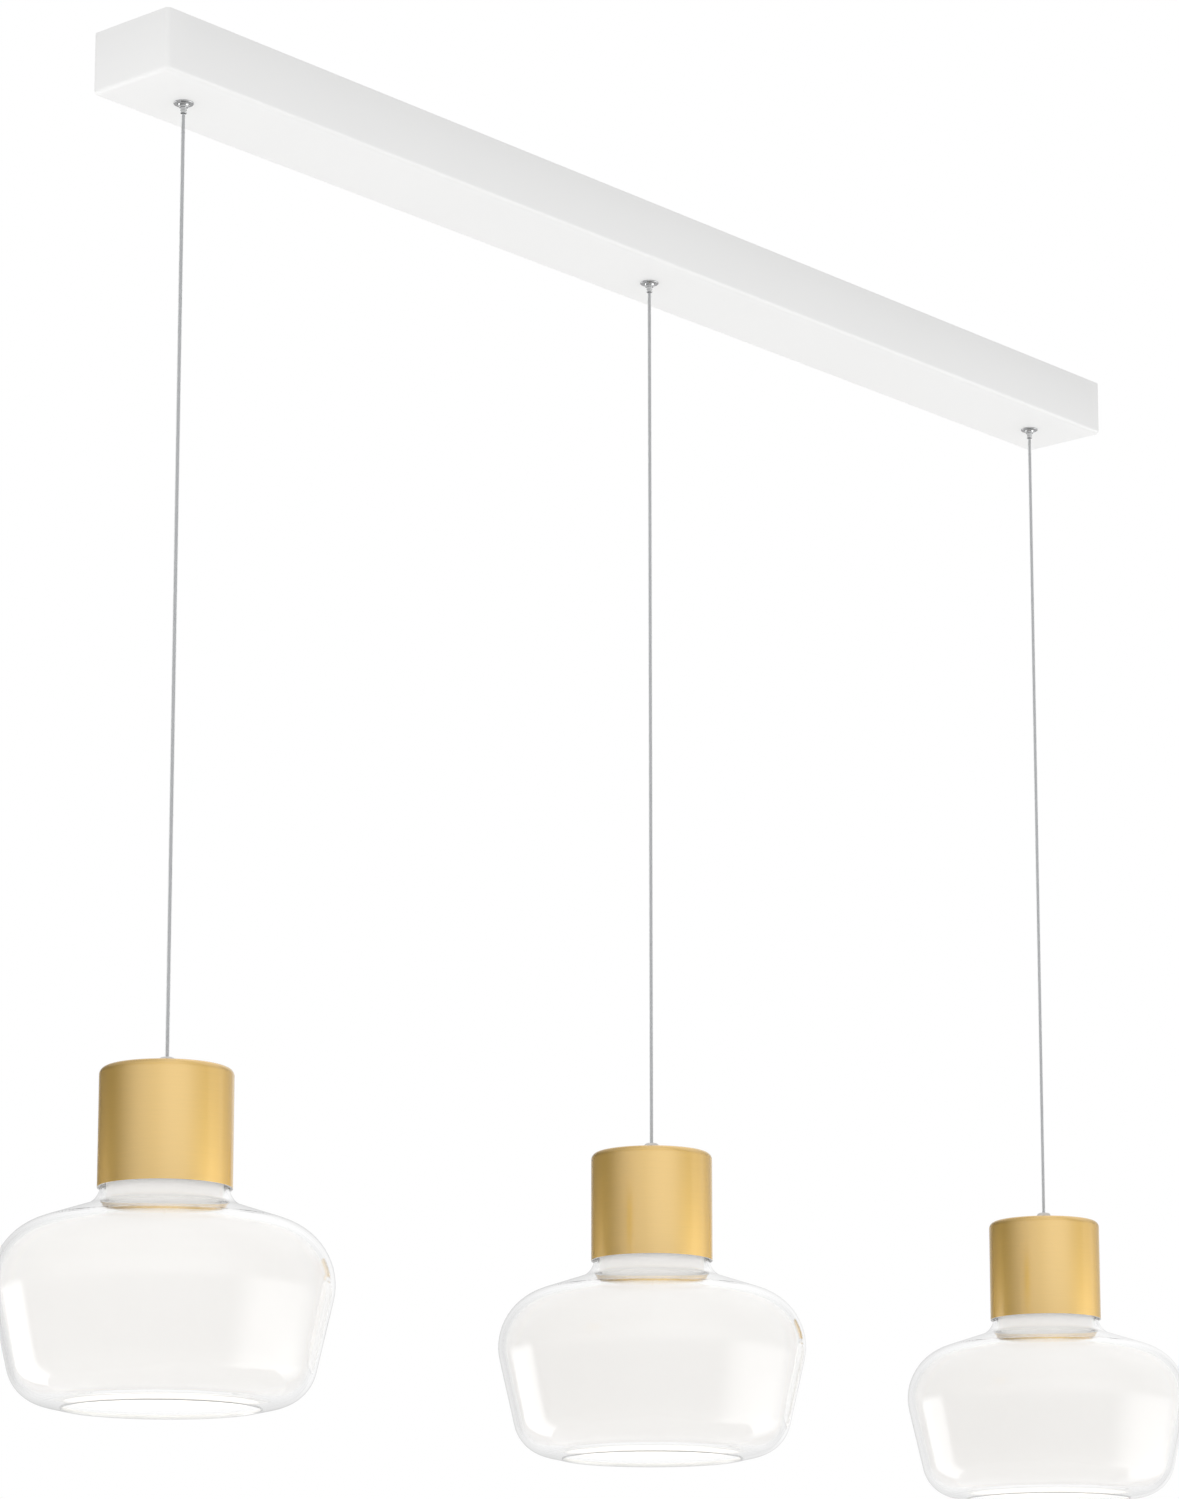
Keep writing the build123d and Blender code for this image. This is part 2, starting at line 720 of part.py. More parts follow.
def inset_corners(corners, depth):
    """The same corners moved into the glass by a depth measured square to each side."""
    points = [Vector(*corner) for corner in corners]
    ways = [(b - a).normalized() for a, b in zip(points, points[1:])]
    normals = [Vector(way.Y, -way.X) for way in ways]
    moved = [points[0] + normals[0] * depth]
    for point, before, after in zip(points[1:-1], normals, normals[1:]):
        moved.append(point + (before + after) * (depth / (1 + before.dot(after))))
    moved.append(points[-1] + normals[-1] * depth)
    return moved


def opal_corners():
    """Corners of the opal shade's outside: the clear one's, a gap inwards, on its own neck."""
    corners = inset_corners(clear_corners(), clear_wall + shade_gap)
    neck, shoulder = corners[2], corners[3]
    share = (opal_neck_radius - neck.X) / (shoulder.X - neck.X)
    neck_corner = neck + (shoulder - neck) * share
    base, mouth = corners[4], corners[5]
    return [(shade_lip_radius, opal_neck_height), (opal_neck_radius, opal_neck_height),
            (opal_neck_radius, neck_corner.Y), (shoulder.X, shoulder.Y),
            (base.X, base.Y), (mouth.X, mouth.Y)]


def shade_of_glass(x, corners, radii, wall):
    """A turned shade of even wall from its outside corners; radii are lip, flare, belly, heel."""
    lip, flare, belly, heel = radii
    inner = inset_corners(corners, wall)
    with BuildPart() as shade:
        with BuildSketch(upright(x, cup_mouth_z)) as profile:
            with BuildLine():
                outside = FilletPolyline(*corners, radius=[lip, flare, belly, heel])
                inside = FilletPolyline(*inner, radius=[lip - wall, flare + wall,
                                                        belly - wall, heel - wall])
                Line(outside @ 0, inside @ 0)
                Line(outside @ 1, inside @ 1)
            make_face()
            mouth_ends = profile.vertices().filter_by(
                lambda v: min((Vector(*v) - (outside @ 1)).length,
                              (Vector(*v) - (inside @ 1)).length) < same_point)
            fillet(mouth_ends, radius=mouth_edge_radius)
        revolve(axis=lamp_axis(x))
    return shade.part


def make_clear_shade(x):
    """The clear outer glass."""
    radii = (lip_corner_radius, flare_radius, belly_radius, heel_radius)
    return shade_of_glass(x, clear_corners(), radii, clear_wall)


def make_opal_shade(x):
    """The white opal glass inside the clear one."""
    inset = clear_wall + shade_gap
    radii = (lip_corner_radius, opal_flare_radius, belly_radius - inset, heel_radius - inset)
    return shade_of_glass(x, opal_corners(), radii, opal_wall)


# ---------------------------------------------------------------- build and write every piece
os.makedirs("parts", exist_ok=True)

save(make_housing_cover(), "housing_cover")
save(make_ceiling_bracket(), "ceiling_bracket")
save(make_cover_screws(), "cover_screws")
save(make_gripper_nuts(), "gripper_nuts")
save(make_terminal_block(), "terminal_block")
save(make_driver_case(), "driver_case")
save(make_driver_lid(), "driver_lid")
save(make_driver_leads(), "driver_leads")
save(make_cable_tails(), "cable_tails")

for side, lamp_x in lamps.items():
    save(make_gripper_body(lamp_x), f"gripper_body_{side}")
    save(make_gripper_nipple(lamp_x), f"gripper_nipple_{side}")
    save(make_gripper_spring(lamp_x), f"gripper_spring_{side}")
    save(make_cable_bend(lamp_x), f"cable_bend_{side}")
    save(make_cable_jacket(lamp_x), f"cable_jacket_{side}")
    save(make_cable_core(lamp_x), f"cable_core_{side}")
    save(make_cup(lamp_x), f"cup_{side}")
    save(make_cup_gland(lamp_x), f"cup_gland_{side}")
    save(make_cable_end(lamp_x), f"cable_end_{side}")
    save(make_heat_sink(lamp_x), f"heat_sink_{side}")
    save(make_led_board(lamp_x), f"led_board_{side}")
    save(make_light_disc(lamp_x), f"light_disc_{side}")
    save(make_shade_ring(lamp_x), f"shade_ring_{side}")
    save(make_ring_screws(lamp_x), f"ring_screws_{side}")
    save(make_shade_gaskets(lamp_x), f"shade_gaskets_{side}")
    save(make_clear_shade(lamp_x), f"clear_shade_{side}")
    save(make_opal_shade(lamp_x), f"opal_shade_{side}")
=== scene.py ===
# %% [markdown]
# # A linear island pendant
# A long white housing is fixed to the ceiling, and three lamps hang from it on thin clear cables.
# Each lamp is a satin brass cup with a clear glass shade over a white opal one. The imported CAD
# model is loaded first and never moved: every new piece is built in its place, in metres.

# %% Load the frame
from math import atan2, ceil, cos, pi, radians, sin, tan

import bpy
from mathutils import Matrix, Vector
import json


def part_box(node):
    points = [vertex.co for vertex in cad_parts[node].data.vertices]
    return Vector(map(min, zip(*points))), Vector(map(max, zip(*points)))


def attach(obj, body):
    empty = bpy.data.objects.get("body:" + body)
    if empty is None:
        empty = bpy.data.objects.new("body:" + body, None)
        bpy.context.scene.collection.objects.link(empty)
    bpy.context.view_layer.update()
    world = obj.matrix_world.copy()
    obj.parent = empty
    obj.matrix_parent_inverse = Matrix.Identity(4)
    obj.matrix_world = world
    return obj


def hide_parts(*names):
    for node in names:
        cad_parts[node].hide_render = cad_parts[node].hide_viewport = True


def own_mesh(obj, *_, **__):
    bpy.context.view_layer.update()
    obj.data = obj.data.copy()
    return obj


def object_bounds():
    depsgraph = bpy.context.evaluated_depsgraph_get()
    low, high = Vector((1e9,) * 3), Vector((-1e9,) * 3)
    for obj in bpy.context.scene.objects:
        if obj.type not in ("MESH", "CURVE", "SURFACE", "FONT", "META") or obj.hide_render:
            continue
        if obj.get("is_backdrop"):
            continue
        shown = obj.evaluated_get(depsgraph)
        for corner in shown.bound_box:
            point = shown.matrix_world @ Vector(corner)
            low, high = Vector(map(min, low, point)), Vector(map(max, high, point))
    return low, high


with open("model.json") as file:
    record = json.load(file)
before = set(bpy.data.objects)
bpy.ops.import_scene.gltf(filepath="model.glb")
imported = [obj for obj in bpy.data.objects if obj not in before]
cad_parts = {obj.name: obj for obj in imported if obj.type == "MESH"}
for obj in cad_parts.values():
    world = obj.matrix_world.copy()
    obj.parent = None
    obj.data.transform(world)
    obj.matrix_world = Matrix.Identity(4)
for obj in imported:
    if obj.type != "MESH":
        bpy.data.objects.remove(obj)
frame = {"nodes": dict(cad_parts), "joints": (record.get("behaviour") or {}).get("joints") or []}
cad_low, cad_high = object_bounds()
MM = 0.001
print("CAD box in mm:", [round(v / MM, 1) for v in cad_high - cad_low])

# %% [markdown]
# The lamps hang in a row and are alike, so one lamp is modelled about the Z axis and copied to the
# others. Their places are read from the frame and not typed in, so the copies land exactly on the
# CAD pieces.

# %% Where the lamps hang
def middle_of(node):
    """The centre of a CAD node's box."""
    low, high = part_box(node)
    return (low + high) / 2


SIDES = ("left", "middle", "right")
LAMP_X = {side: middle_of(f"cup_{side}").x for side in SIDES}
HOUSING_LOW, HOUSING_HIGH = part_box("housing_cover")
CUP_LOW, CUP_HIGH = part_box("cup_middle")
HOUSING_FLOOR = HOUSING_LOW.z
CUP_MOUTH = CUP_LOW.z
CUP_TOP = CUP_HIGH.z
print("lamps at x =", {side: round(x, 3) for side, x in LAMP_X.items()})

# %% [markdown]
# ## Camera
# A long lens from below and to the left, close to the diagonal of the row, so the three lamps
# step down and away in size. The view is tilted up a little. A camera that is tilted alone makes
# upright lines lean, so a small upward shift of the lens keeps the cables nearly parallel.

# %% Camera
CAMERA_PLACE = (-2.394, -2.042, -1.141)
CAMERA_BEARING = 48.77
CAMERA_RISE = 10.88
LENS = 112.6
SHIFT_UP = 0.15

bpy.ops.object.select_all(action="DESELECT")
bpy.ops.object.camera_add(location=CAMERA_PLACE,
                          rotation=(pi / 2 + radians(CAMERA_RISE), 0, -radians(CAMERA_BEARING)))
camera = bpy.context.object
camera.name = "camera"
camera.data.lens = LENS
camera.data.shift_y = SHIFT_UP
bpy.context.scene.camera = camera
bpy.context.scene.view_settings.view_transform = "Standard"
print("camera at", CAMERA_PLACE, "with a lens of", LENS, "mm")

# %% [markdown]
# ## Shader maths as Python
# A pattern takes many small Math nodes, and adding and linking them one by one would hide what
# they work out. A Wire is one output of a shader node, and its operators add those nodes, so a
# pattern is written as an expression.

# %% Wires
class Wire:
    """An output of a shader node that Python's operators can work on."""

    def __init__(self, finish, socket):
        self.finish = finish
        self.socket = socket

    def maths(self, operation, first, second):
        return self.finish.node("ShaderNodeMath", {"operation": operation}, [first, second])

    def __add__(self, other):
        return self.maths("ADD", self, other)

    def __mul__(self, other):
        return self.maths("MULTIPLY", self, other)

    def __sub__(self, other):
        return self.maths("SUBTRACT", self, other)

    def __rsub__(self, other):
        return self.maths("SUBTRACT", other, self)

    def __pow__(self, other):
        return self.maths("POWER", self, other)

    __radd__ = __add__
    __rmul__ = __mul__

    def at_most_one_of(self, other):
        return self.maths("MAXIMUM", self, other)

# %% [markdown]
# A Finish collects the nodes of one material, or of the world. Its patterns are laid out in the
# piece's own coordinates, in metres, so that they keep their real size and need no unwrapping.

# %% Finishes
class Finish:
    """The node tree of one material or of the world."""

    def __init__(self, owner):
        owner.use_nodes = True
        self.owner = owner
        self.tree = owner.node_tree
        self.tree.nodes.clear()

    def node(self, kind, settings=None, values=None, give=0):
        """Adds a node: its settings first, then the values or wires of its inputs."""
        made = self.tree.nodes.new(kind)
        for key, value in (settings or {}).items():
            setattr(made, key, value)
        pairs = values.items() if isinstance(values, dict) else enumerate(values or [])
        for key, value in pairs:
            if isinstance(value, Wire):
                self.tree.links.new(value.socket, made.inputs[key])
            else:
                made.inputs[key].default_value = value
        return Wire(self, made.outputs[give]) if made.outputs else None

    def blend(self, share, first, second):
        """A colour between two colours."""
        return self.node("ShaderNodeMix", {"data_type": "RGBA"}, {0: share, 6: first, 7: second}, 2)

    def place(self, stretch=(1, 1, 1)):
        """The point on the piece, in metres, stretched for a pattern."""
        spot = self.node("ShaderNodeTexCoord", give="Object")
        return self.node("ShaderNodeMapping", values={"Vector": spot, "Scale": stretch})

    def noise(self, where, scale, detail=2.0):
        """A soft random pattern from 0 to 1."""
        return self.node("ShaderNodeTexNoise", values={"Vector": where, "Scale": scale, "Detail": detail})

    def bump(self, height, depth, strength):
        """A normal that a height pattern tilts; depth is in metres."""
        values = {"Strength": strength, "Distance": depth, "Height": height}
        return self.node("ShaderNodeBump", values=values)

    def surface(self, shader):
        self.node("ShaderNodeOutputMaterial", values={"Surface": shader})
        return self.owner


def new_finish(name):
    """The empty finish of a new material."""
    print("finish:", name)
    return Finish(bpy.data.materials.new(name))

# %% [markdown]
# ## Finishes
# The housing is powder-coated steel, and much inside it is moulded plastic. A plain white would
# look like paper, so the surface gets what such paint shows close up: a fine orange peel, made by
# tilting the normal with noise, and a colour and gloss that vary very slightly.

# %% Powder coat and moulded plastics
CLOUD_SCALE = 9.0
CLOUD_DIM = 0.975
GLOSS_SPREAD = 0.06
PEEL_DETAIL = 1.0
PEEL_TILT = 0.35


def dimmed(colour, share):
    """The colour with only a share of its light."""
    return tuple(share * part for part in colour[:3]) + (1,)


def around(middle, pattern, spread):
    """A value that a pattern from 0 to 1 moves to both sides of its middle."""
    return pattern * spread + (middle - spread / 2)


def coated(name, colour, roughness, peel, depth):
    """Paint or plastic: peel is how often its bumps come in a metre, and depth is in metres."""
    coat = new_finish(name)
    where = coat.place()
    cloud = coat.noise(where, CLOUD_SCALE)
    values = {
        "Base Color": coat.blend(cloud, dimmed(colour, CLOUD_DIM), colour),
        "Roughness": around(roughness, cloud, GLOSS_SPREAD),
        "Normal": coat.bump(coat.noise(where, peel, PEEL_DETAIL), depth, PEEL_TILT),
    }
    return coat.surface(coat.node("ShaderNodeBsdfPrincipled", values=values))


WHITE_STEEL = coated("white powder coat", (0.90, 0.90, 0.895, 1), 0.42, 900.0, 0.00003)
WHITE_PLASTIC = coated("white moulded plastic", (0.86, 0.86, 0.85, 1), 0.50, 500.0, 0.00002)
RING_PLASTIC = coated("gloss white plastic", (0.90, 0.90, 0.885, 1), 0.22, 300.0, 0.00001)
BLACK_PLASTIC = coated("black moulded plastic", (0.03, 0.03, 0.03, 1), 0.45, 600.0, 0.00002)
GROUND_GLASS = coated("ground glass edge", (0.86, 0.865, 0.86, 1), 0.30, 800.0, 0.00001)
GLAND_PLASTIC = coated("gland plastic", (0.78, 0.77, 0.75, 1), 0.35, 500.0, 0.00001)
LEAD_PLASTIC = coated("lead insulation", (0.72, 0.72, 0.71, 1), 0.38, 400.0, 0.00001)
BOARD_MASK = coated("solder mask", (0.88, 0.88, 0.85, 1), 0.30, 1500.0, 0.00001)

# %% [markdown]
# The cups are turned brass under a clear lacquer, the grippers are chromed and the bracket is zinc
# plated. A metal is all reflection, so its grain matters more than its colour. A picture of brushed
# metal would have to be unwrapped, so the grain is noise, stretched the way the metal was worked.
# The lacquer is a coat over the brass, which mirrors the room in white beside the brass's own
# yellow and gives the soft pale band of a satin cup.

# %% Metals
EVEN = (1, 1, 1)
TURNED = (1, 1, 30)
DRAWN = (1, 1, 0.15)
GRAIN_DETAIL = 3.0
GRAIN_DIM = 0.93
GRAIN_TILT = 0.3
LACQUER = {"Coat Weight": 1.0, "Coat Roughness": 0.2, "Coat IOR": 2.2}


def metal(name, colour, roughness, stretch, scale, depth, spread=0.10, lacquer=None):
    """Metal: a grain, stretched the way it was worked, and a clear lacquer if it has one."""
    bare = new_finish(name)
    grain = bare.noise(bare.place(stretch), scale, GRAIN_DETAIL)
    values = {
        "Base Color": bare.blend(grain, dimmed(colour, GRAIN_DIM), colour),
        "Metallic": 1.0,
        "Roughness": around(roughness, grain, spread),
        "Normal": bare.bump(grain, depth, GRAIN_TILT),
        **(lacquer or {}),
    }
    return bare.surface(bare.node("ShaderNodeBsdfPrincipled", values=values))


BRASS = metal("satin brass", (0.92, 0.60, 0.14, 1), 0.50, TURNED, 60.0, 0.000003, 0.05, LACQUER)
CHROME = metal("polished chrome", (0.56, 0.565, 0.57, 1), 0.08, EVEN, 220.0, 0.000001, 0.04)
ZINC = metal("zinc plate", (0.74, 0.75, 0.77, 1), 0.42, EVEN, 120.0, 0.000004)
STEEL = metal("bright steel", (0.60, 0.61, 0.62, 1), 0.25, EVEN, 400.0, 0.000003)
TINNED = metal("tinned strands", (0.50, 0.51, 0.52, 1), 0.38, DRAWN, 3000.0, 0.00005, 0.16)
ALUMINIUM = metal("cast aluminium", (0.74, 0.75, 0.76, 1), 0.42, EVEN, 500.0, 0.00002)

# %% [markdown]
# Clear glass shows itself by its edges: it mirrors where it is seen at a slant, and is
# almost unseen face on. Its colour is also painted darker at a slant, partly for the longer path
# through the glass and partly as painted shade that draws its outline. Light from the room would be
# stopped by its walls as by a solid, so rays that only ask for shadow pass straight through.

# %% Glass, clear plastic and silicone
GLASS_INDEX = 1.46
SLANT_SHADE_POWER = 4.0


def see_through(name, colour, edge, index, roughness=0.0):
    """A clear solid whose colour is painted darker towards the edge colour where it is seen at a slant:
    painted shade along its outline.
    """
    clear = new_finish(name)
    slant = clear.node("ShaderNodeLayerWeight", values={"Blend": 0.5}, give="Facing")
    values = {
        # The edge colour is painted shade: the base colour turns to it where the glass is seen at a slant.
        "Base Color": clear.blend(slant ** SLANT_SHADE_POWER, colour, edge),
        "Roughness": roughness,
        "IOR": index,
        "Transmission Weight": 1.0,
    }
    glass = clear.node("ShaderNodeBsdfPrincipled", values=values)
    open_air = clear.node("ShaderNodeBsdfTransparent", values={"Color": colour})
    shadow = clear.node("ShaderNodeLightPath", give="Is Shadow Ray")
    return clear.surface(clear.node("ShaderNodeMixShader", values=[shadow, glass, open_air]))


# Each second colour is the painted shade at a slant, darkest on the cable's jacket.
CLEAR_GLASS = see_through("clear glass", (1.0, 1.0, 1.0, 1), (0.96, 0.965, 0.965, 1), GLASS_INDEX)
CLEAR_JACKET = see_through("clear cable jacket", (0.93, 0.93, 0.93, 1), (0.50, 0.50, 0.51, 1), 1.45)
SILICONE = see_through("clear silicone", (0.90, 0.90, 0.89, 1), (0.70, 0.70, 0.70, 1), 1.40, 0.35)

# %% [markdown]
# The inner shade is opal glass: light scatters inside it, so it looks evenly white from every side
# when the lamp is lit. Scattering could be traced, but through two shades it would be slow and
# grainy. A glossy white that glows a little by itself looks the same.

# %% Opal glass
OPAL_CLOUD_SCALE = 7.0
OPAL_DIM = 0.985
OPAL_SPREAD = 0.03


def opal(name, colour, roughness, glow):
    """Milky glass: a glossy skin over a white body that glows when the lamp is lit."""
    milk = new_finish(name)
    cloud = milk.noise(milk.place(), OPAL_CLOUD_SCALE)
    values = {
        "Base Color": milk.blend(cloud, dimmed(colour, OPAL_DIM), colour),
        "Roughness": cloud * OPAL_SPREAD + roughness,
        "IOR": GLASS_INDEX,
        "Emission Color": colour,
        "Emission Strength": glow,
    }
    return milk.surface(milk.node("ShaderNodeBsdfPrincipled", values=values))


OPAL_GLASS = opal("opal glass", (0.882, 0.867, 0.845, 1), 0.28, 0.33)
LIT_DISC = opal("lit opal disc", (0.95, 0.94, 0.91, 1), 0.30, 6.0)

# %% [markdown]
# ## Dressing the CAD pieces
# The bracket, driver, leads, heat sinks and screws are hidden or small, and their CAD shapes are
# right, so they stay and only get a finish. The others get one too, for when no new piece
# replaces them.

# %% Finishes of the CAD nodes
NODE_FINISH = {
    "housing_cover": WHITE_STEEL, "ceiling_bracket": ZINC, "cover_screws": STEEL,
    "gripper_nuts": ZINC, "terminal_block": BLACK_PLASTIC, "driver_case": WHITE_PLASTIC,
    "driver_lid": WHITE_PLASTIC, "driver_leads": LEAD_PLASTIC, "cable_tails": CLEAR_JACKET,
    "gripper_body": CHROME, "gripper_nipple": CHROME, "gripper_spring": STEEL,
    "cable_bend": CLEAR_JACKET, "cable_jacket": CLEAR_JACKET, "cable_core": TINNED,
    "cable_end": CLEAR_JACKET, "cup": BRASS, "cup_gland": GLAND_PLASTIC,
    "heat_sink": ALUMINIUM, "led_board": BOARD_MASK, "light_disc": LIT_DISC,
    "shade_ring": RING_PLASTIC, "ring_screws": STEEL, "shade_gaskets": SILICONE,
    "clear_shade": CLEAR_GLASS, "opal_shade": OPAL_GLASS,
}


def dress(piece, finish):
    """Gives a piece one finish all over."""
    piece.data.materials.clear()
    piece.data.materials.append(finish)


for node_name, node in frame["nodes"].items():
    base = node_name
    for side in SIDES:
        base = base.removesuffix(f"_{side}")
    dress(node, NODE_FINISH[base])
print("dressed", len(frame["nodes"]), "CAD nodes")

# %% [markdown]
# ## Turned pieces
# Cups, glass and fittings are all round, so each starts as an outline beside the lamp's axis and is
# spun about it. The outline itself starts as a tiny plane merged to one point. A straight side is
# that point extruded, and a rounded corner is the point spun about the corner's centre, which
# gives true arcs where a bevel would only come close.

# %% Outlines with true rounded corners
ARC_STEP = radians(6)
SAME_POINT = 0.000002


def tight_turn(before, corner, after, radius):
    """Where a corner's arc starts, its centre and the signed angle that it turns, clockwise positive."""
    arriving = (corner - before).normalized()
    leaving = (after - corner).normalized()
    angle = atan2(arriving.y * leaving.x - arriving.x * leaving.y, arriving.dot(leaving))
    run_in = radius * tan(abs(angle) / 2)
    start = corner - arriving * run_in
    inwards = Vector((arriving.y, -arriving.x)) * (1 if angle > 0 else -1)
    return start, start + inwards * radius, angle


def start_outline(name, x, z):
    """A mesh of a single point, open for drawing."""
    bpy.ops.object.select_all(action="DESELECT")
    bpy.ops.mesh.primitive_plane_add(size=MM, location=(x, 0, z))
    outline = bpy.context.object
    outline.name = name
    bpy.ops.object.transform_apply(location=True, rotation=True, scale=True)
    bpy.ops.object.mode_set(mode="EDIT")
    bpy.ops.mesh.select_mode(type="VERT")
    bpy.ops.mesh.select_all(action="SELECT")
    bpy.ops.mesh.merge(type="CENTER")
    return outline


def draw_outline(name, corners, height):
    """Draws (radius, height, rounding) corners, in millimetres, as a line above a height in metres."""
    points = [Vector((x * MM, height + z * MM)) for x, z, _ in corners]
    outline = start_outline(name, points[0].x, points[0].y)
    pen = points[0]
    for index in range(1, len(points)):
        rounding = corners[index][2] * MM
        target, centre, angle = points[index], None, 0.0
        if rounding and index < len(points) - 1:
            target, centre, angle = tight_turn(*points[index - 1:index + 2], rounding)
        step = target - pen
        if step.length > SAME_POINT:
            bpy.ops.mesh.extrude_region_move(TRANSFORM_OT_translate={"value": (step.x, 0, step.y)})
        pen = target
        if centre is not None:
            bpy.ops.mesh.spin(steps=ceil(abs(angle) / ARC_STEP), angle=-angle,
                              center=(centre.x, 0, centre.y), axis=(0, 1, 0))
            arm = pen - centre
            pen = centre + Vector((arm.x * cos(angle) + arm.y * sin(angle),
                                   arm.y * cos(angle) - arm.x * sin(angle)))
    return outline

# %% [markdown]
# Sheet and glass have a wall, which could be drawn as a second line beside the first. A Solidify
# modifier gives it the same thickness everywhere instead, and a small Bevel breaks the cut edges,
# because a real edge is never perfectly sharp and catches a line of light. A larger piece is spun
# in more steps, so that its outline stays round.

# %% From outline to piece
SMOOTH_ANGLE = radians(35)
EDGE_ANGLE = radians(40)
EDGE_SEGMENTS = 4

# How many flat sides a turned piece has all round, by its size.
LARGE = 128
MIDDLING = 96
SMALL = 64
TINY = 48


def apply_modifier(piece, kind, settings):
    """Adds a modifier to the active piece and applies it."""
    modifier = piece.modifiers.new(kind.lower(), kind)
    for key, value in settings.items():
        setattr(modifier, key, value)
    bpy.ops.object.modifier_apply(modifier=modifier.name)


def give_wall(piece, wall):
    """Makes a skin a sheet of a thickness in millimetres, inwards."""
    apply_modifier(piece, "SOLIDIFY", {"thickness": wall * MM, "offset": -1, "use_even_offset": True})


def break_edges(piece, width, segments, angle):
    """Rounds the edges that are sharper than an angle, by a width in millimetres."""
    apply_modifier(piece, "BEVEL", {"width": width * MM, "segments": segments,
                                    "limit_method": "ANGLE", "angle_limit": angle})


def turn(outline, steps, wall=0.0, edge=0.0):
    """Spins the outline being drawn about the lamp's axis, and gives it its wall and edges."""
    bpy.ops.mesh.select_all(action="SELECT")
    bpy.ops.mesh.spin(steps=steps, angle=2 * pi, center=(0, 0, 0), axis=(0, 0, 1))
    bpy.ops.mesh.select_all(action="SELECT")
    bpy.ops.mesh.remove_doubles(threshold=SAME_POINT)
    bpy.ops.mesh.normals_make_consistent(inside=False)
    bpy.ops.object.mode_set(mode="OBJECT")
    if wall:
        give_wall(outline, wall)
    if edge:
        break_edges(outline, edge, EDGE_SEGMENTS, EDGE_ANGLE)
    bpy.ops.object.shade_smooth_by_angle(angle=SMOOTH_ANGLE)
    return outline

# %% [markdown]
# A finished piece takes the place of a CAD node, gets that node's finish and is parented to an
# empty named for its body. A turned piece is made once, and each lamp gets a copy. A linked
# copy would share one mesh, so these are full copies with their place applied.

# %% Pieces in place of CAD nodes
def stand_for(piece, side, node, body, finish):
    """Puts a piece in place of its side's CAD node, on that side's body or on the root."""
    dress(piece, finish)
    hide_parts(f"{node}_{side}")
    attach(piece, "root" if body == "root" else f"{body}_{side}")
    return piece


def hang_copies(piece, node, body, finish):
    """Puts a copy of a turned piece on each lamp, and deletes the first one."""
    copies = []
    for side in SIDES:
        bpy.ops.object.select_all(action="DESELECT")
        piece.select_set(True)
        bpy.context.view_layer.objects.active = piece
        bpy.ops.object.duplicate(linked=False)
        copy = bpy.context.object
        copy.name = f"{piece.name}_{side}"
        copy.data.name = copy.name
        bpy.ops.transform.translate(value=(LAMP_X[side], 0, 0))
        bpy.ops.object.transform_apply(location=True, rotation=True, scale=True)
        copies.append(stand_for(copy, side, node, body, finish))
    print(piece.name, "has", len(piece.data.polygons), "faces")
    bpy.data.objects.remove(piece)
    return copies

# %% [markdown]
# ## The cables
# Each lamp hangs on a taut cable, so its route is one straight run: a NURBS line from the gripper to
# the gland. A cylinder would do as well, but the line also gives the points that the cable passes.
# The line gets the cable's thickness and becomes a mesh.

# %% Lines and tubes
def cable_line(name, x, top, foot):
    """A straight NURBS line from top to foot."""
    route = [(x, 0, top), (x, 0, (top + foot) / 2), (x, 0, foot)]
    curve = bpy.data.curves.new(name, "CURVE")
    curve.dimensions = "3D"
    spline = curve.splines.new("NURBS")
    spline.points.add(len(route) - 1)
    for point, place in zip(spline.points, route):
        point.co = (*place, 1)
    spline.order_u = 3
    spline.use_endpoint_u = True
    line = bpy.data.objects.new(name, curve)
    bpy.context.scene.collection.objects.link(line)
    return line


def points_along(line):
    """The points that a line without thickness passes."""
    bare = bpy.data.meshes.new_from_object(line)
    passed = [tuple(vertex.co) for vertex in bare.vertices]
    bpy.data.meshes.remove(bare)
    return passed


def tube_along(line, radius):
    """Gives the line a round section and closed ends, and turns it into a smooth mesh."""
    line.data.bevel_depth = radius * MM
    line.data.bevel_resolution = 6
    line.data.use_fill_caps = True
    bpy.ops.object.select_all(action="DESELECT")
    line.select_set(True)
    bpy.context.view_layer.objects.active = line
    bpy.ops.object.convert(target="MESH")
    bpy.ops.object.shade_smooth_by_angle(angle=SMOOTH_ANGLE)
    return bpy.context.object

# %% [markdown]
# The cable is a clear jacket round a core of tinned strands, and the jacket's curved surface
# spreads the core's grey. The short root under the gripper is a piece of its own, on a body of its
# own. The share of the jacket that a raised lamp would leave is worked out for each cable, but the
# meshes keep their full length.

# %% Cables
CABLE_RADIUS = 1.3
CORE_RADIUS = 0.65

# The root's strand reaches this far past the hinge, and the core below starts there.
PAST_HINGE = CABLE_RADIUS * MM


def travel(joint_name):
    """How far a sliding joint goes from rest, in metres."""
    return next(joint for joint in frame["joints"] if joint["name"] == joint_name)["range_m"][1]


def jacket_tube(line, side, node, body):
    """A clear jacket along a line."""
    return stand_for(tube_along(line, CABLE_RADIUS), side, node, body, CLEAR_JACKET)


def core_tube(line, side, node, body):
    """A core of tinned strands along a line."""
    return stand_for(tube_along(line, CORE_RADIUS), side, node, body, TINNED)


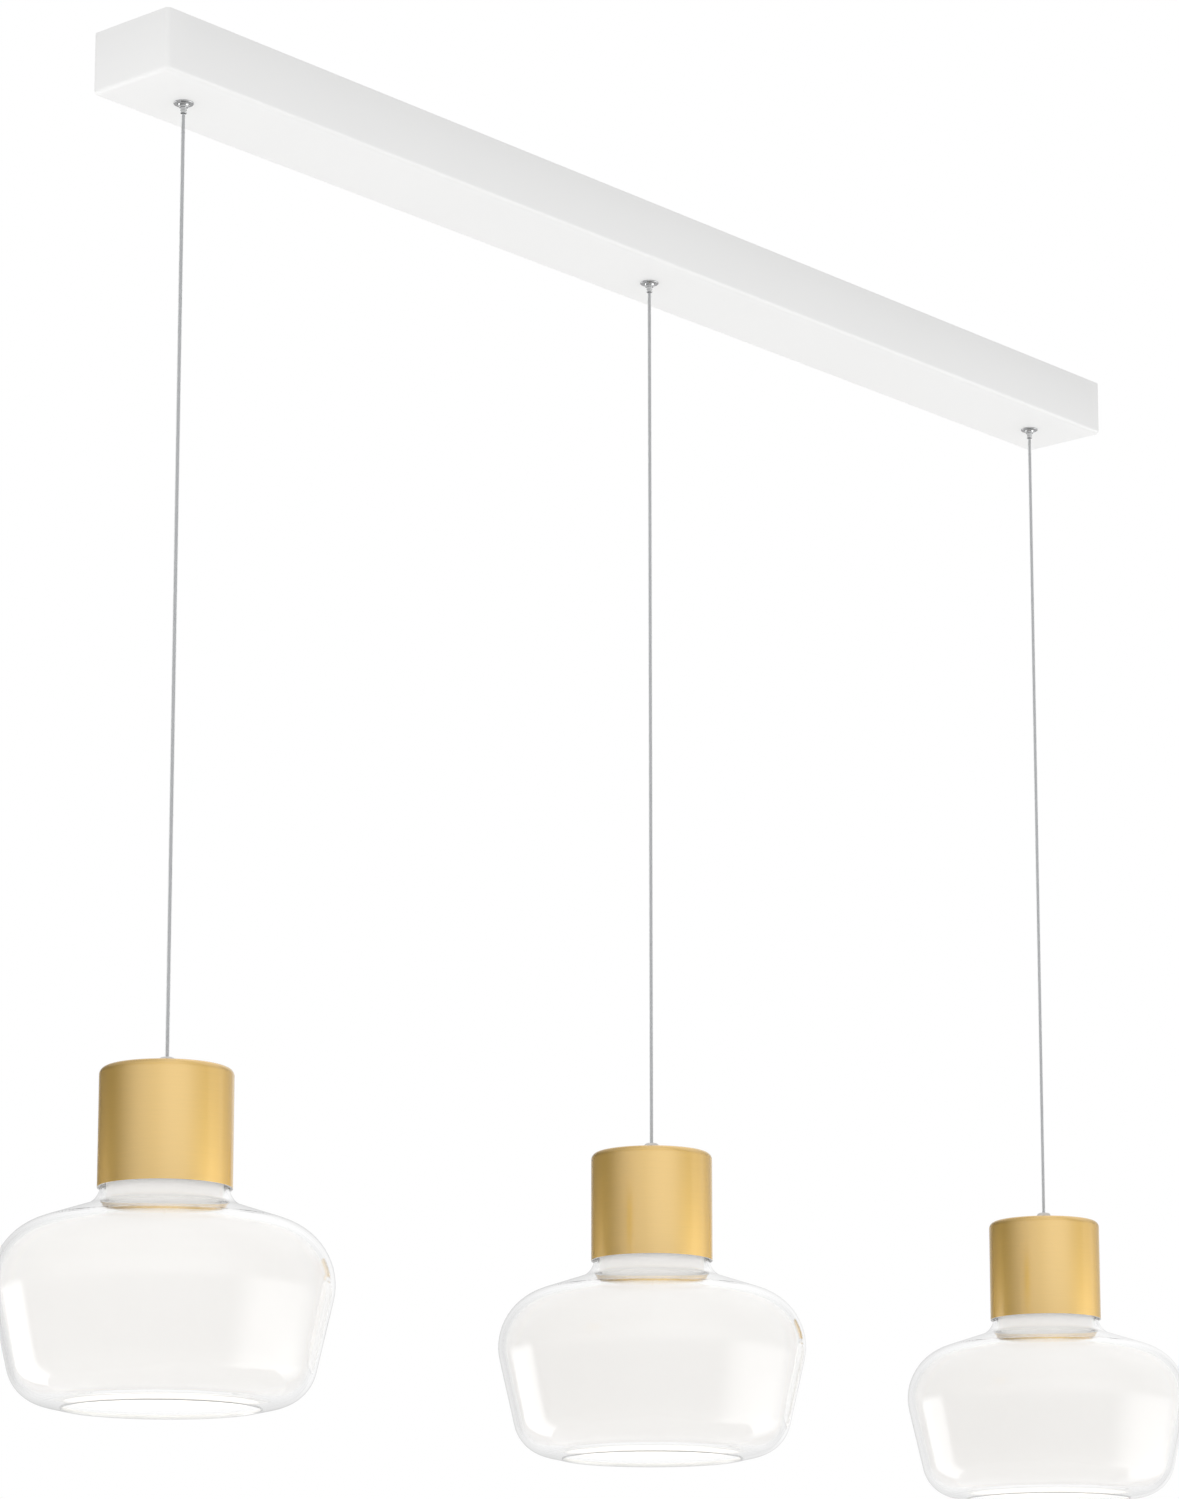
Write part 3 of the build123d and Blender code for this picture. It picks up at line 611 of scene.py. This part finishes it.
HEIGHT_RANGE = travel("height_middle")
for side in SIDES:
    low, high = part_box(f"cable_jacket_{side}")
    root_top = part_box(f"cable_bend_{side}")[1].z
    keep = 1 - HEIGHT_RANGE / (high.z - low.z)
    x = LAMP_X[side]
    core = core_tube(cable_line(f"core_{side}", x, high.z - PAST_HINGE, low.z), side, "cable_core", "drop")
    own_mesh(core)
    line = cable_line(f"cable_{side}", x, high.z, low.z)
    passed = points_along(line)
    jacket = jacket_tube(line, side, "cable_jacket", "drop")
    root = jacket_tube(cable_line(f"root_{side}", x, root_top, high.z), side, "cable_bend", "bend")
    strand_line = cable_line(f"root_core_{side}", x, root_top, high.z - PAST_HINGE)
    strand = core_tube(strand_line, side, "cable_bend", "bend")
    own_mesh(jacket)
    print(side, "cable hangs", round((high.z - low.z) / MM, 1), "mm")

# %% [markdown]
# ## The shades
# Both shades are blown glass of even wall, so their outsides are drawn as lines with rounded
# corners, spun, and given a wall inwards. The clear shade's mouth is ground and polished round, and
# shows as a pale line. It could be a bevel of the same glass, but a tight bend of clear glass mirrors
# dark corners of the room, so the last millimetre of the wall is a bead of its own, with a finish
# that is white as ground glass is. The clear skin ends inside it.

# %% Clear shade and its ground mouth
CLEAR_OUTSIDE = [(29.7, 14.0, 0), (39.0, 14.0, 3.6), (39.0, -8.2, 14.0), (110.6, -31.9, 40.0),
                 (88.9, -127.5, 27.0), (59.5, -134.0, 0)]
CLEAR_WALL = 2.6
MOUTH_EDGE = 0.9
BEAD = 1.2
SKIN_END = 0.9 * BEAD

mouth = Vector(CLEAR_OUTSIDE[-1][:2])
along = (Vector(CLEAR_OUTSIDE[-2][:2]) - mouth).normalized()
across = Vector((-along.y, along.x)) * CLEAR_WALL
bead_top = mouth + along * BEAD
bead_outline = [(*(bead_top + across), 0), (*bead_top, 0), (*mouth, MOUTH_EDGE),
                (*(mouth + across), MOUTH_EDGE), (*(bead_top + across), 0)]
bead = turn(draw_outline("clear_mouth", bead_outline, CUP_MOUTH), LARGE)
hang_copies(bead, "clear_shade", "lamp", GROUND_GLASS)

skin = CLEAR_OUTSIDE[:-1] + [(*(mouth + along * SKIN_END), 0)]
clear_shade = turn(draw_outline("clear_glass", skin, CUP_MOUTH), LARGE, wall=CLEAR_WALL)
hang_copies(clear_shade, "clear_shade", "lamp", CLEAR_GLASS)

# %% [markdown]
# The opal shade follows the clear one at a distance of about 3 mm. A copy of the clear one could
# be scaled down, but the gap would then be wider at the belly than at the neck, so it has an
# outline of its own. Its mouth is fire-polished: a bevel rounds the cut edge.

# %% Opal shade
OPAL_OUTSIDE = [(29.7, 10.4, 0), (35.4, 10.4, 3.6), (35.4, -12.8, 6.0), (104.1, -35.6, 34.5),
                (84.3, -122.9, 21.5), (58.3, -128.6, 0)]
OPAL_WALL = 2.2

opal_shade = draw_outline("opal_glass", OPAL_OUTSIDE, CUP_MOUTH)
turn(opal_shade, LARGE, wall=OPAL_WALL, edge=MOUTH_EDGE)
hang_copies(opal_shade, "opal_shade", "lamp", OPAL_GLASS)

# %% [markdown]
# ## The cup and its gland
# The cup is spun from brass sheet: a straight wall, a softly rounded top edge and a hole for the
# gland. A tiny bevel on the mouth's edge catches a thin line of light. Its inside and its mouth's
# edge are painted white, which throws the lamp's light down. The paint could be a piece of its
# own, but a second material on those faces keeps the cup whole. They are found by the way they
# look: towards the lamp's axis, or down.

# %% Brass cups
CUP_HEIGHT = (CUP_TOP - CUP_MOUTH) / MM
CUP_RADIUS = (CUP_HIGH.x - CUP_LOW.x) / 2 / MM
CUP_EDGE = 4.5
CUP_WALL = 1.5
CUP_CUT = 0.25
GLAND_HOLE = 4.15
LOOKS_DOWN = -0.5
CUP_OUTLINE = [(GLAND_HOLE, CUP_HEIGHT, 0), (CUP_RADIUS, CUP_HEIGHT, CUP_EDGE), (CUP_RADIUS, 0, 0)]


def paint_inside(cup, axis):
    """Paints a cup's inside and mouth edge white. The axis is the x of the lamp's axis."""
    cup.data.materials.append(WHITE_STEEL)
    painted = 0
    for face in cup.data.polygons:
        outwards = face.normal.x * (face.center.x - axis) + face.normal.y * face.center.y
        if outwards < 0 or face.normal.z < LOOKS_DOWN:
            face.material_index = 1
            painted += 1
    print(cup.name, "has", painted, "painted faces")


cup = turn(draw_outline("brass_cup", CUP_OUTLINE, CUP_MOUTH), LARGE, wall=CUP_WALL, edge=CUP_CUT)
for side, copy in zip(SIDES, hang_copies(cup, "cup", "lamp", BRASS)):
    paint_inside(copy, LAMP_X[side])

# %% [markdown]
# A small domed gland of pale plastic holds the cable where it enters the cup, with a stem that goes
# through the hole. It could be joined from a dome and a tube, but one closed outline that is
# turned gives the dome, the stem and the cable's hole at once.

# %% Glands
GLAND_OUTLINE = [(1.5, 7.0, 0), (5.2, 7.0, 2.55), (5.2, 0, 0), (4.0, 0, 0), (4.0, -12.0, 0),
                 (1.5, -12.0, 0), (1.5, 7.0, 0)]
GLAND_EDGE = 0.15

gland = turn(draw_outline("gland", GLAND_OUTLINE, CUP_TOP), TINY, edge=GLAND_EDGE)
hang_copies(gland, "cup_gland", "lamp", GLAND_PLASTIC)

# %% [markdown]
# ## The light engine
# Looking up into a shade, one sees the white ring that clamps the glass and the small lit disc
# in its middle. A Blender light could stand in for the disc, but a disc that glows is also seen in
# the glass, and throws no hard shadows. Both are turned. The three socket screws that hold the
# ring keep their CAD shapes.

# %% Ring and disc
RING_OUTLINE = [(22.0, 2.0, 0), (31.6, 2.0, 0.6), (31.6, 8.2, 0), (24.0, 8.2, 0), (24.0, 3.5, 0),
                (22.0, 3.5, 0), (22.0, 2.0, 0)]
RING_EDGE = 0.2
DISC_OUTLINE = [(0, 5.0, 0), (23.7, 5.0, 0), (23.7, 3.5, 0.5), (0, 3.5, 0)]

ring = turn(draw_outline("shade_clamp", RING_OUTLINE, CUP_MOUTH), MIDDLING, edge=RING_EDGE)
hang_copies(ring, "shade_ring", "lamp", RING_PLASTIC)
disc = turn(draw_outline("lit_disc", DISC_OUTLINE, CUP_MOUTH), MIDDLING)
hang_copies(disc, "light_disc", "lamp", LIT_DISC)

# %% [markdown]
# ## The grippers
# A polished gripper carries each cable: a flange under the housing, a trumpet-shaped cone below it
# and a nipple that is pressed up to let the cable run. A cylinder and a cone would do from afar,
# but chrome shows every form in its reflections, so the thin rim and the hollow of the cone are
# drawn as true curves and turned.

# %% Gripper bodies and nipples
GRIPPER_OUTLINE = [(1.55, 13.0, 0), (4.0, 13.0, 0), (4.0, 0, 0), (6.4, 0, 0), (6.4, -0.9, 0.35),
                   (2.9, -0.9, 2.0), (2.9, -3.2, 0), (2.1, -3.2, 0), (2.1, -0.6, 0), (2.85, -0.6, 0),
                   (2.85, 10.5, 0), (1.55, 10.5, 0), (1.55, 13.0, 0)]
NIPPLE_OUTLINE = [(1.55, -7.2, 0), (2.02, -7.2, 0.25), (2.02, -6.4, 0), (1.75, -6.4, 0), (1.75, -5.2, 0),
                  (2.02, -5.2, 0), (2.02, -0.55, 0), (2.75, -0.55, 0), (2.75, 1.95, 0), (1.55, 1.95, 0),
                  (1.55, -7.2, 0)]
GRIPPER_EDGE = 0.1
NIPPLE_EDGE = 0.06

gripper = turn(draw_outline("gripper", GRIPPER_OUTLINE, HOUSING_FLOOR), SMALL, edge=GRIPPER_EDGE)
hang_copies(gripper, "gripper_body", "root", CHROME)
nipple = turn(draw_outline("nipple", NIPPLE_OUTLINE, HOUSING_FLOOR), TINY, edge=NIPPLE_EDGE)
hang_copies(nipple, "gripper_nipple", "nipple", CHROME)

# %% [markdown]
# Inside each gripper a spring pushes the nipple down. Its CAD shape stays, with a mesh of its own.
# A rigid spring would be run into by the pressed nipple; the nipple's travel and the spring's height
# are read, but the spring is not squashed.

# %% Springs
NIPPLE_TRAVEL = travel("nipple_press_middle")

for side in SIDES:
    low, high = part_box(f"gripper_spring_{side}")
    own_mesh(frame["nodes"][f"gripper_spring_{side}"], f"nipple_press_{side}", axis=(0, 0, 1),
              anchor=(LAMP_X[side], 0, high.z), keep=1 - NIPPLE_TRAVEL / (high.z - low.z))
    print(side, "spring is", round((high.z - low.z) / MM, 2), "mm tall")

# %% [markdown]
# ## The housing
# The housing is folded from steel sheet and welded at its ends. It could be built plate by plate,
# but bent sheet has round corners that run into each other, so it starts as a block whose upright
# corners and lower edges are bevelled, and the top is taken off.

# %% Housing block
HOUSING_CORNER = 3.5
HOUSING_BEND = 3.0
BEND_SEGMENTS = 8
NEAR = 0.00001


def near(value, goal):
    return abs(value - goal) < NEAR


def pick(kind, test):
    """Selects the edges or faces of the piece in edit mode whose points pass a test."""
    bpy.ops.mesh.select_mode(type=kind)
    bpy.ops.mesh.select_all(action="DESELECT")
    bpy.ops.object.mode_set(mode="OBJECT")
    mesh = bpy.context.object.data
    for item in {"EDGE": mesh.edges, "FACE": mesh.polygons}[kind]:
        item.select = test([mesh.vertices[index].co for index in item.vertices])
    bpy.ops.object.mode_set(mode="EDIT")


def round_picked(radius):
    """Bevels the picked edges to a radius in millimetres."""
    bpy.ops.mesh.bevel(offset=radius * MM, offset_type="OFFSET", segments=BEND_SEGMENTS, affect="EDGES")


bpy.ops.object.select_all(action="DESELECT")
bpy.ops.mesh.primitive_cube_add(size=1, location=(HOUSING_LOW + HOUSING_HIGH) / 2,
                                scale=HOUSING_HIGH - HOUSING_LOW)
housing = bpy.context.object
housing.name = "housing"
bpy.ops.object.transform_apply(location=True, rotation=True, scale=True)
bpy.ops.object.mode_set(mode="EDIT")
pick("EDGE", lambda points: near(points[0].x, points[1].x) and near(points[0].y, points[1].y))
round_picked(HOUSING_CORNER)
pick("EDGE", lambda points: all(near(point.z, HOUSING_FLOOR) for point in points))
round_picked(HOUSING_BEND)
pick("FACE", lambda points: all(near(point.z, HOUSING_HIGH.z) for point in points))
bpy.ops.mesh.delete(type="FACE")
print("housing block has", len(housing.data.polygons), "faces before it is opened")

# %% [markdown]
# The near side's top edge is folded inwards to hook onto the ceiling bracket. Two cuts across the
# open skin mark where the fold starts and ends, and the edge between them is extruded. Then the
# skin gets the thickness of the sheet, inwards, so the outside keeps its size.

# %% Housing lip and sheet
HOUSING_WALL = 1.2
LIP_REACH = 7.0
LIP_END = 20.0
CUT_MARGIN = 1.0
LIP_LIMIT = HOUSING_HIGH.x - (LIP_END - CUT_MARGIN) * MM
CUT_EDGE = 0.2
CUT_SEGMENTS = 2
CUT_ANGLE = radians(50)


def on_lip(point):
    """Whether a point of the skin is on the near top edge, between the cuts."""
    return near(point.z, HOUSING_HIGH.z) and near(point.y, HOUSING_LOW.y) and abs(point.x) < LIP_LIMIT


for end in (-1, 1):
    bpy.ops.mesh.select_all(action="SELECT")
    bpy.ops.mesh.bisect(plane_co=(end * (HOUSING_HIGH.x - LIP_END * MM), 0, 0), plane_no=(1, 0, 0))
pick("EDGE", lambda points: all(on_lip(point) for point in points))
bpy.ops.mesh.extrude_region_move(TRANSFORM_OT_translate={"value": (0, LIP_REACH * MM, 0)})
bpy.ops.mesh.select_all(action="SELECT")
bpy.ops.mesh.normals_make_consistent(inside=False)
bpy.ops.object.mode_set(mode="OBJECT")
give_wall(housing, HOUSING_WALL)
break_edges(housing, CUT_EDGE, CUT_SEGMENTS, CUT_ANGLE)
bpy.ops.object.shade_smooth_by_angle(angle=SMOOTH_ANGLE)
dress(housing, WHITE_STEEL)
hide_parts("housing_cover")
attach(housing, "root")
print("housing has", len(housing.data.polygons), "faces")

# %% [markdown]
# ## Studio
# The object hangs in a white room. Lamps and panels could stand in it, but then every reflection
# would need a panel of its own. Here the world itself is drawn instead: its light is a pattern of
# the direction that a ray leaves in, made of upright strips and soft steps.

# %% Directions in the room
TO_CAMERA = 180 + CAMERA_BEARING
ABOVE_ZERO = 0.0001

room = Finish(bpy.data.worlds.new("white room"))
bpy.context.scene.world = room.owner
heading = room.node("ShaderNodeTexCoord", give="Generated")
east, north, up = [room.node("ShaderNodeSeparateXYZ", values={"Vector": heading}, give=axis)
                   for axis in "XYZ"]
level = (east * east + north * north + ABOVE_ZERO) ** -0.5


def between(wire, start, end):
    """A soft step from 0 to 1 as the wire goes from start to end."""
    return room.node("ShaderNodeMapRange", {"interpolation_type": "SMOOTHSTEP"},
                     {"Value": wire, "From Min": start, "From Max": end})


def strip(turn_away, half, soft):
    """1 in an upright strip, placed in degrees clockwise from the camera, and 0 beside it."""
    bearing = radians(TO_CAMERA + turn_away)
    facing = (east * sin(bearing) + north * cos(bearing)) * level
    return between(facing, cos(radians(half + soft)), cos(radians(half - soft)))


def window(place, sill, head):
    """A strip that fades out below its sill and above its head."""
    return strip(*place) * between(up, *sill) * between(up, *head)


print("the room's patterns start from", len(room.tree.nodes), "nodes")

# %% [markdown]
# Metal and glass mirror a room of their own, since a white room would leave them flat. Its walls are
# bright behind the camera and dimmer behind the object, where they are pale enough to keep the
# outlines of the glass thin. A brighter band to the right shows in the brass as a light upright
# stripe.

# %% Walls of the mirrored room
FRONT_WALL = (-1, 55, 50)
FRONT_GLOW = (-22, 18, 18)
BRIGHT_BAND = (-99, 17, 5)
SIDE_WALL = (-142, 26, 18)
BACK_WALL = (180, 24, 8)
HIGH_UP = (0.22, 0.50)
WALL_LIGHT = {"all round": 0.10, "front": 0.92, "front, high up": 0.34, "glow": 0.22, "side": 0.35,
              "back": 0.48, "band": 0.44}

front = strip(*FRONT_WALL)
back = strip(*BACK_WALL)
dimming = (WALL_LIGHT["front"] - WALL_LIGHT["front, high up"]) * between(up, *HIGH_UP)
walls = (WALL_LIGHT["all round"] + front * (WALL_LIGHT["front"] - dimming)
         + strip(*FRONT_GLOW) * WALL_LIGHT["glow"] + strip(*SIDE_WALL) * WALL_LIGHT["side"]
         + back * WALL_LIGHT["back"] + strip(*BRIGHT_BAND) * WALL_LIGHT["band"])
print("with walls:", len(room.tree.nodes))

# %% [markdown]
# A broad window to the right and a narrow one to the left reach down from the horizon, and draw the
# long upright reflections on the glass. Higher windows would show as stripes in the brass too, so
# their heads stay low. Floor and ceiling are plain and soft.

# %% Windows, floor and ceiling of the mirrored room
RIGHT_WINDOW = {"place": (-96, 27, 18), "sill": (-0.88, -0.60), "head": (0.0, -0.24)}
LEFT_WINDOW = {"place": (118, 14, 4), "sill": (-0.85, -0.65), "head": (0.04, -0.12)}
RIGHT_LIGHT = 2.8
LEFT_LIGHT = 2.6
BELOW = (-0.10, -0.20)
GROUND_LIGHT = {"all round": 0.30, "front": 0.10, "back": 0.30}
OVERHEAD = (0.30, 0.75)
CEILING_LIGHT = 0.35

windows = window(**RIGHT_WINDOW) * RIGHT_LIGHT + window(**LEFT_WINDOW) * LEFT_LIGHT
below = between(up, *BELOW)
ground = GROUND_LIGHT["all round"] + front * GROUND_LIGHT["front"] + back * GROUND_LIGHT["back"]
ceiling = between(up, *OVERHEAD) * CEILING_LIGHT
mirror_light = ceiling + (1 - below) * walls + below * ground + windows
print("with windows, floor and ceiling:", len(room.tree.nodes))

# %% [markdown]
# Each kind of ray gets its own room. A ray from the eye, or one that went through glass, sees plain
# white. One that left a mirror sees the mirrored room. Any other brings the soft light that the
# object is lit by, which is stronger from below, as a white floor would throw it back.

# %% World
SOFT_LIGHT = 0.77
FROM_BELOW = 0.68
FROM_EAST = -0.03
FROM_NORTH = 0.05
DOWNWARDS = (0.0, -0.60)


def grey(level):
    return (level, level, level, 1)


from_below = between(up, *DOWNWARDS) * FROM_BELOW
soft_light = SOFT_LIGHT + from_below + east * FROM_EAST + north * FROM_NORTH
seen = room.node("ShaderNodeLightPath", give="Is Camera Ray")
through = room.node("ShaderNodeLightPath", give="Is Transmission Ray")
mirrored = room.node("ShaderNodeLightPath", give="Is Glossy Ray")
behind = seen.at_most_one_of(through)
strength = behind + (1 - behind) * (mirrored * mirror_light + (1 - mirrored) * soft_light)
light = room.node("ShaderNodeBackground", values={"Color": grey(1.0), "Strength": strength})
room.node("ShaderNodeOutputWorld", values={"Surface": light})
print("the whole room has", len(room.tree.nodes), "nodes")

# %% [markdown]
# Light goes through many layers here: two shades of two surfaces each, and the clear jackets. Extra
# bounces keep the thick rims of the glass from going black.

# %% Bounces
BOUNCES = 48

bpy.context.scene.cycles.max_bounces = BOUNCES
bpy.context.scene.cycles.transmission_bounces = BOUNCES
bpy.context.scene.cycles.glossy_bounces = BOUNCES
print("light may bounce", BOUNCES, "times")

# %% [markdown]
# The floor is a sheet of white paper well below the lamps. Without it the light would hang in
# nothing. It takes a soft shadow as paper does, and a glow of its own, which is seen but lights
# nothing, brings it near the white of the room.

# %% Floor
FLOOR_DROP = 0.9
FLOOR_SIZE = 2.4
PAPER = 0.75
PAPER_GLOW = 0.40

bpy.ops.object.select_all(action="DESELECT")
bpy.ops.mesh.primitive_plane_add(size=FLOOR_SIZE, location=(0, 0, cad_low.z - FLOOR_DROP))
floor = bpy.context.object
floor.name = "floor"
paper = new_finish("white paper floor")
matt = paper.node("ShaderNodeBsdfDiffuse", values={"Color": grey(PAPER)})
eye = paper.node("ShaderNodeLightPath", give="Is Camera Ray")
glass_eye = paper.node("ShaderNodeLightPath", give="Is Transmission Ray")
glow = eye.at_most_one_of(glass_eye) * PAPER_GLOW
lift = paper.node("ShaderNodeEmission", values={"Color": grey(1.0), "Strength": glow})
floor.data.materials.append(paper.surface(paper.node("ShaderNodeAddShader", values=[matt, lift])))
floor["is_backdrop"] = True
print("floor lies", FLOOR_DROP, "m below the shades")

# %% [markdown]
# ## Closing
# The visual model's box is printed, as the CAD model's box was at the start.

# %% Finish
import json

low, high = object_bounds()
print("visual box in mm:", [round(v / MM, 1) for v in high - low])
